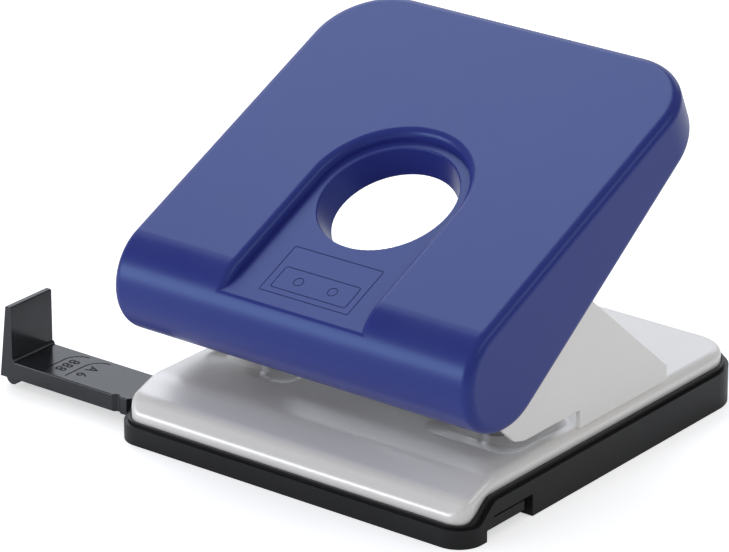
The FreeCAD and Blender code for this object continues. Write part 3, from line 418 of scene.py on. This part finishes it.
def plain_steel(name, colour, roughness, stretch, fineness, relief):
    """Bare or plated steel with its drawing or grinding lines."""
    material, tree, shader = finish_sheet(name)
    lines = effect(tree, "drawn grain", fineness=fineness)
    join(tree, object_place(tree, stretch), lines.inputs["Place"])
    drift = effect(tree, "moulding drift", colour=(*colour, 1), spread=60.0, strength=0.22)
    tone = node(tree, "ShaderNodeHueSaturation")
    join(tree, drift.outputs["Colour"], tone.inputs["Color"])
    join(tree, lines.outputs["Tone"], tone.inputs["Value"])
    join(tree, tone.outputs["Color"], shader.inputs["Base Color"])
    gloss = effect(tree, "handling", gloss=roughness, change=0.16, spread=90.0)
    join(tree, gloss.outputs["Roughness"], shader.inputs["Roughness"])
    shader.inputs["Metallic"].default_value = 1.0
    raise_grain(tree, shader, lines.outputs["Height"], relief)
    return material


def painted_groove_shade(name, colour):
    """Painted shade of an engraved line: a darker colour on a thin flat strip stands in for the shade at the
    bottom of the groove.
    """
    material, tree, shader = finish_sheet(name)
    tone = effect(tree, "moulding drift", colour=(*colour, 1), spread=400.0, strength=0.5)
    join(tree, tone.outputs["Colour"], shader.inputs["Base Color"])
    shader.inputs["Roughness"].default_value = 0.7
    shader.inputs["Specular IOR Level"].default_value = 0.2
    return material


def dress(material, *names):
    """Give CAD nodes a finish through their own material slots."""
    for name in names:
        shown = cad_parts[name]
        if not shown.material_slots:
            raise RuntimeError(name + " has no material slot")
        for place in shown.material_slots:
            place.material = material


# ---- small modelling helpers ----
def piece_from(bm, name, material, body):
    """Turn a bmesh into a piece that rides on a body."""
    bmesh.ops.remove_doubles(bm, verts=bm.verts, dist=1e-7)
    bmesh.ops.recalc_face_normals(bm, faces=bm.faces)
    mesh = bpy.data.meshes.new(name)
    bm.to_mesh(mesh)
    bm.free()
    mesh.materials.append(material)
    piece = bpy.data.objects.new(name, mesh)
    bpy.context.scene.collection.objects.link(piece)
    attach(piece, body)
    return piece


def thicken(bm, faces, height):
    """Raise flat faces into a thin closed strip."""
    raised = bmesh.ops.extrude_face_region(bm, geom=faces)
    verts = [item for item in raised["geom"] if isinstance(item, bmesh.types.BMVert)]
    bmesh.ops.translate(bm, verts=verts, vec=(0, 0, height))


def line_ring(bm, face, line):
    """Keep only a line's width round the edge of a face."""
    ring = bmesh.ops.inset_region(bm, faces=[face], thickness=line, use_boundary=True,
                                  use_even_offset=True)["faces"]
    bmesh.ops.delete(bm, geom=[face], context="FACES_ONLY")
    return ring


def rounded_frame(bm, width, length, radius, line, centre):
    """Line round a rectangle with rounded corners."""
    grid = bmesh.ops.create_grid(bm, x_segments=1, y_segments=1, size=0.5)["verts"]
    bmesh.ops.scale(bm, vec=(width, length, 1), verts=grid)
    bmesh.ops.translate(bm, vec=(*centre, 0), verts=grid)
    rounded = bmesh.ops.bevel(bm, geom=grid, offset=radius, segments=6, profile=0.5, affect="VERTICES",
                              material=-1, clamp_overlap=True)
    face = [item for item in rounded["verts"][0].link_faces][0]
    return line_ring(bm, face, line)


def round_frame(bm, radius, line, centre):
    """Line round a circle."""
    disc = bmesh.ops.create_circle(bm, cap_ends=True, radius=radius, segments=40)["verts"]
    bmesh.ops.translate(bm, vec=(*centre, 0), verts=disc)
    return line_ring(bm, disc[0].link_faces[0], line)


def shorten(piece, joint, low, high):
    """Give a spring its own copy of its mesh."""
    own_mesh(piece)


def on_panel(lift):
    """Place on the bed of the handle's sunk panel, a little above it."""
    turn = Matrix.Rotation(HANDLE_SLOPE, 4, "X")
    start = Matrix.Translation((0, TRAY_FRONT_Y, HANDLE_TOP_Z))
    return start @ turn @ Matrix.Translation((0, 0, lift - PANEL_DEPTH))


def text_mesh(words, height, spacing, depth):
    """Flat letters as a mesh, upright from the origin."""
    curve = bpy.data.curves.new(words, "FONT")
    curve.body = words
    curve.size = height
    curve.space_character = spacing
    curve.extrude = depth / 2
    curve.align_x = "CENTER"
    curve.align_y = "CENTER"
    holder = bpy.data.objects.new(words, curve)
    bpy.context.scene.collection.objects.link(holder)
    bpy.context.view_layer.update()
    mesh = bpy.data.meshes.new_from_object(holder)
    bpy.data.objects.remove(holder)
    bpy.data.curves.remove(curve)
    return mesh


# ---- operators ----
class PAPER_DRILL_OT_handle(bpy.types.Operator):
    """Finish the cover, the lever frame and what turns with them"""

    bl_idname = "paper_drill.handle"
    bl_label = "Finish handle"

    def execute(self, context):
        cover = context.scene.paper_drill_cover
        base = context.scene.paper_drill_base
        blue = moulded_plastic("cover_blue", cover.colour, cover.roughness, 1 / cover.grain, cover.relief,
                               dust=0.015, drift=0.1, handled=0.04, sheen=cover.gloss_tint,
                               level=cover.gloss_level)
        dress(blue, "handle_cover")
        zinc = plain_steel("lever_zinc", base.zinc, 0.32, (0.15, 1, 1), 1400.0, 0.000006)
        dress(zinc, "lever_frame", "cover_screws")
        ground = plain_steel("bar_ground", base.tool_steel, 0.24, (1, 0.1, 0.1), 2400.0, 0.000004)
        dress(ground, "press_bar")
        plastic = context.scene.paper_drill_plastic
        acetal = moulded_plastic("bush_acetal", plastic.acetal, 0.42, 1800.0, 0.000006, dust=0.0, drift=0.1)
        dress(acetal, "lever_bush_left", "lever_bush_right")
        return {"FINISHED"}


class PAPER_DRILL_OT_base(bpy.types.Operator):
    """Finish the pressed base, its cheeks, the bridge and its rivets"""

    bl_idname = "paper_drill.base"
    bl_label = "Finish base"

    def execute(self, context):
        base = context.scene.paper_drill_base
        silver = silver_lacquer("base_silver", base.silver, base.roughness)
        dress(silver, "base_plate", "cheek_left", "cheek_right")
        zinc = plain_steel("bridge_zinc", base.zinc, 0.34, (0.12, 1, 1), 1300.0, 0.000006)
        dress(zinc, "punch_bridge", "bridge_rivets")
        return {"FINISHED"}


class PAPER_DRILL_OT_mechanism(bpy.types.Operator):
    """Finish the punches, dies and the pivot"""

    bl_idname = "paper_drill.mechanism"
    bl_label = "Finish mechanism"

    def execute(self, context):
        base = context.scene.paper_drill_base
        zinc = plain_steel("pin_zinc", base.zinc, 0.26, (0.2, 1, 1), 1800.0, 0.000004)
        dress(zinc, "pivot_axle", "stop_rod", "guide_bush_left", "guide_bush_right", "punch_head_left",
              "punch_head_right")
        ground = plain_steel("punch_ground", base.tool_steel, 0.2, (0.15, 0.15, 1), 3200.0, 0.000003)
        dress(ground, "punch_pin_left", "punch_pin_right", "die_ring_left", "die_ring_right")
        return {"FINISHED"}


class PAPER_DRILL_OT_springs(bpy.types.Operator):
    """Finish the spring steel, and put copies of the return springs, riding on the base, in place of the CAD
    coils
    """

    bl_idname = "paper_drill.springs"
    bl_label = "Fit springs"

    def execute(self, context):
        wire = plain_steel("spring_wire", (0.3, 0.29, 0.28), 0.3, (1, 1, 1), 1600.0, 0.000003)
        dress(wire, "axle_clips", "detent_spring")
        for side in ("left", "right"):
            coil = "return_spring_" + side
            bm = bmesh.new()
            bm.from_mesh(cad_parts[coil].data)
            piece = piece_from(bm, "coil_" + side, wire, "base")
            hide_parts(coil)
            shorten(piece, "punch_slide_" + side, *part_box(coil))
        return {"FINISHED"}


class PAPER_DRILL_OT_tray(bpy.types.Operator):
    """Finish the chip tray"""

    bl_idname = "paper_drill.tray"
    bl_label = "Finish tray"

    def execute(self, context):
        plastic = context.scene.paper_drill_plastic
        black = moulded_plastic("tray_black", plastic.tray, 0.38, 1500.0, 0.00001, level=0.32)
        dress(black, "chip_tray")
        return {"FINISHED"}


class PAPER_DRILL_OT_guide(bpy.types.Operator):
    """Finish the paper guide and the channel it slides in"""

    bl_idname = "paper_drill.guide"
    bl_label = "Finish paper guide"

    def execute(self, context):
        plastic = context.scene.paper_drill_plastic
        base = context.scene.paper_drill_base
        black = moulded_plastic("rail_black", plastic.rail, 0.18, 1700.0, 0.000008, level=0.7)
        dress(black, "guide_rail")
        sleeve = moulded_plastic("channel_black", plastic.tray, 0.5, 1300.0, 0.000012, dust=0.0)
        dress(sleeve, "guide_channel")
        zinc = plain_steel("screw_zinc", base.zinc, 0.3, (1, 1, 1), 1500.0, 0.000004)
        dress(zinc, "channel_screws")
        return {"FINISHED"}


class PAPER_DRILL_OT_panel_border(bpy.types.Operator):
    """Draw the engraved border on the handle's panel, round a sheet with two holes, as thin strips in painted
    groove shade
    """

    bl_idname = "paper_drill.panel_border"
    bl_label = "Engrave panel"

    def execute(self, context):
        marks = context.scene.paper_drill_marks
        # Painted shade: the strips' darker blue stands in for the shade inside engraved grooves; the strips lie
        # just above the panel bed.
        shade = painted_groove_shade("cover_engraving_painted_shade", (0.016, 0.023, 0.13))
        centre = (BORDER_X, marks.border_centre)
        x, y = SHEET_PLACE
        parts = {
            "panel_border": lambda bm: rounded_frame(bm, marks.border_width, marks.border_length, 0.0006,
                                                     marks.line, centre),
            "sheet_mark": lambda bm: rounded_frame(bm, marks.sheet_width, marks.sheet_length, 0.0009,
                                                   marks.line, SHEET_PLACE),
            "hole_mark_left": lambda bm: round_frame(bm, marks.hole, marks.line, (x - SHEET_HOLE_X, y)),
            "hole_mark_right": lambda bm: round_frame(bm, marks.hole, marks.line, (x + SHEET_HOLE_X, y)),
        }
        for name, draw in parts.items():
            bm = bmesh.new()
            thicken(bm, draw(bm), PANEL_MARK_DEPTH)
            bmesh.ops.transform(bm, matrix=on_panel(PANEL_MARK_LIFT), verts=bm.verts)
            piece_from(bm, name, shade, "handle")
        return {"FINISHED"}


class PAPER_DRILL_OT_guide_marks(bpy.types.Operator):
    """Draw the engraved paper formats on the guide as thin letters in painted groove shade"""

    bl_idname = "paper_drill.guide_marks"
    bl_label = "Engrave formats"

    def execute(self, context):
        marks = context.scene.paper_drill_marks
        # Painted shade: the letters' near-black, darker than the rail, stands in for the shade inside engraved
        # grooves.
        shade = painted_groove_shade("rail_engraving_painted_shade", (0.004, 0.004, 0.005))
        for name, words, (x, spacing) in (("far_format_mark", marks.far_format, FAR_MARK),
                                          ("near_format_mark", marks.near_format, NEAR_MARK)):
            mesh = text_mesh(words, marks.text_height, spacing, RAIL_MARK_DEPTH)
            bm = bmesh.new()
            bm.from_mesh(mesh)
            bpy.data.meshes.remove(mesh)
            turn = Matrix.Rotation(math.radians(-90), 4, "Z")
            place = Matrix.Translation((x, RAIL_MARK_Y, RAIL_TOP_Z + RAIL_MARK_LIFT)) @ turn
            bmesh.ops.transform(bm, matrix=place, verts=bm.verts)
            piece_from(bm, name, shade, "paper_guide")
        return {"FINISHED"}


def studio_sky(settings):
    """Plain white all round: full for what is seen, lower for what lights the object."""
    world = bpy.data.worlds.new("studio")
    bpy.context.scene.world = world
    world.use_nodes = True
    tree = world.node_tree
    sky = tree.nodes["Background"]
    sky.inputs["Color"].default_value = (1, 1, 1, 1)
    path = node(tree, "ShaderNodeLightPath")
    dim = node(tree, "ShaderNodeMapRange", to_min=settings.sky, to_max=settings.gloss_sky)
    join(tree, path.outputs["Is Glossy Ray"], dim.inputs["Value"])
    seen = node(tree, "ShaderNodeMath", operation="MAXIMUM")
    join(tree, path.outputs["Is Camera Ray"], seen.inputs[0])
    join(tree, path.outputs["Is Transmission Ray"], seen.inputs[1])
    level = node(tree, "ShaderNodeMix")
    join(tree, seen.outputs[0], level.inputs[0])
    join(tree, dim.outputs[0], level.inputs[2])
    level.inputs[3].default_value = 1.0
    join(tree, level.outputs[0], sky.inputs["Strength"])


def studio_floor(settings):
    """Plain pale floor that goes white for the camera and keeps the shadow."""
    material, tree, shader = finish_sheet("floor_paper")
    tone = settings.floor_tone
    drift = effect(tree, "moulding drift", colour=(tone, tone, tone, 1), spread=2.0, strength=0.02)
    join(tree, drift.outputs["Colour"], shader.inputs["Base Color"])
    shader.inputs["Roughness"].default_value = 0.9
    shader.inputs["Specular IOR Level"].default_value = 0.1
    path = node(tree, "ShaderNodeLightPath")
    seen = node(tree, "ShaderNodeMath", operation="MAXIMUM")
    join(tree, path.outputs["Is Camera Ray"], seen.inputs[0])
    join(tree, path.outputs["Is Transmission Ray"], seen.inputs[1])
    mirrored = node(tree, "ShaderNodeMath", operation="MULTIPLY")
    mirrored.inputs[1].default_value = settings.floor_sheen
    join(tree, path.outputs["Is Glossy Ray"], mirrored.inputs[0])
    shown = node(tree, "ShaderNodeMath", operation="MAXIMUM")
    join(tree, seen.outputs[0], shown.inputs[0])
    join(tree, mirrored.outputs[0], shown.inputs[1])
    glow = node(tree, "ShaderNodeMath", operation="MULTIPLY")
    glow.inputs[1].default_value = settings.floor_glow
    join(tree, shown.outputs[0], glow.inputs[0])
    shader.inputs["Emission Color"].default_value = (1, 1, 1, 1)
    join(tree, glow.outputs[0], shader.inputs["Emission Strength"])
    bm = bmesh.new()
    bmesh.ops.create_grid(bm, x_segments=8, y_segments=8, size=5.0)
    bmesh.ops.translate(bm, verts=bm.verts, vec=(0, 0, -0.00005))
    mesh = bpy.data.meshes.new("floor")
    bm.to_mesh(mesh)
    bm.free()
    mesh.materials.append(material)
    floor = bpy.data.objects.new("floor", mesh)
    bpy.context.scene.collection.objects.link(floor)


def softbox(name, heading, distance, size, brightness, aim):
    """Soft lamp in a heading from the object, given by the brightness of its cloth."""
    light = bpy.data.lights.new(name, "AREA")
    light.shape = "RECTANGLE"
    light.size = size[0]
    light.size_y = size[1]
    light.energy = brightness * math.pi * size[0] * size[1]
    light.color = LAMP_COLOUR
    holder = bpy.data.objects.new(name, light)
    away = Vector(heading).normalized()
    holder.location = aim + away * distance
    holder.rotation_euler = away.to_track_quat("Z", "Y").to_euler()
    bpy.context.scene.collection.objects.link(holder)


class PAPER_DRILL_OT_stage(bpy.types.Operator):
    """Set up the floor, the soft light and the camera"""

    bl_idname = "paper_drill.stage"
    bl_label = "Set up studio"

    def execute(self, context):
        settings = context.scene.paper_drill_studio
        studio_sky(settings)
        studio_floor(settings)
        aim = Vector(settings.aim)
        for side, (heading, distance, size) in SOFTBOXES.items():
            softbox(side + "_softbox", heading, distance, size, getattr(settings, side + "_box"), aim)
        turn = (settings.azimuth, settings.elevation)
        back = Vector((math.sin(turn[0]) * math.cos(turn[1]), -math.cos(turn[0]) * math.cos(turn[1]),
                       math.sin(turn[1])))
        camera = bpy.data.cameras.new("camera")
        camera.lens = settings.lens
        camera.sensor_width = 36.0
        camera.sensor_fit = "HORIZONTAL"
        camera.clip_end = 50.0
        holder = bpy.data.objects.new("camera", camera)
        holder.location = aim + back * settings.distance
        holder.rotation_euler = back.to_track_quat("Z", "Y").to_euler()
        bpy.context.scene.collection.objects.link(holder)
        bpy.context.scene.camera = holder
        context.scene.view_settings.view_transform = "Standard"
        return {"FINISHED"}


class PAPER_DRILL_PT_sidebar(bpy.types.Panel):
    """Steps that dress the punch"""

    bl_idname = "PAPER_DRILL_PT_sidebar"
    bl_label = "Paper Drill"
    bl_space_type = "VIEW_3D"
    bl_region_type = "UI"
    bl_category = "Paper Drill"

    def draw(self, context):
        for settings in (context.scene.paper_drill_cover, context.scene.paper_drill_base,
                         context.scene.paper_drill_plastic, context.scene.paper_drill_marks,
                         context.scene.paper_drill_studio):
            box = self.layout.box()
            for key in settings.__annotations__:
                box.prop(settings, key)
        for step in STEPS:
            self.layout.operator(step.bl_idname)


STEPS = (PAPER_DRILL_OT_handle, PAPER_DRILL_OT_base, PAPER_DRILL_OT_mechanism, PAPER_DRILL_OT_springs,
         PAPER_DRILL_OT_tray, PAPER_DRILL_OT_guide, PAPER_DRILL_OT_panel_border, PAPER_DRILL_OT_guide_marks,
         PAPER_DRILL_OT_stage)
SETTINGS = {
    "paper_drill_cover": CoverSettings,
    "paper_drill_base": BaseSettings,
    "paper_drill_plastic": PlasticSettings,
    "paper_drill_marks": MarkSettings,
    "paper_drill_studio": StudioSettings,
}


def register():
    for name, kind in SETTINGS.items():
        bpy.utils.register_class(kind)
        setattr(bpy.types.Scene, name, PointerProperty(type=kind))
    for kind in (*STEPS, PAPER_DRILL_PT_sidebar):
        bpy.utils.register_class(kind)


def unregister():
    for kind in (PAPER_DRILL_PT_sidebar, *reversed(STEPS)):
        bpy.utils.unregister_class(kind)
    for name, kind in SETTINGS.items():
        delattr(bpy.types.Scene, name)
        bpy.utils.unregister_class(kind)


def main():
    register()
    bpy.ops.paper_drill.handle()
    bpy.ops.paper_drill.base()
    bpy.ops.paper_drill.mechanism()
    bpy.ops.paper_drill.springs()
    bpy.ops.paper_drill.tray()
    bpy.ops.paper_drill.guide()
    bpy.ops.paper_drill.panel_border()
    bpy.ops.paper_drill.guide_marks()
    bpy.ops.paper_drill.stage()


if __name__ == "__main__":
    main()
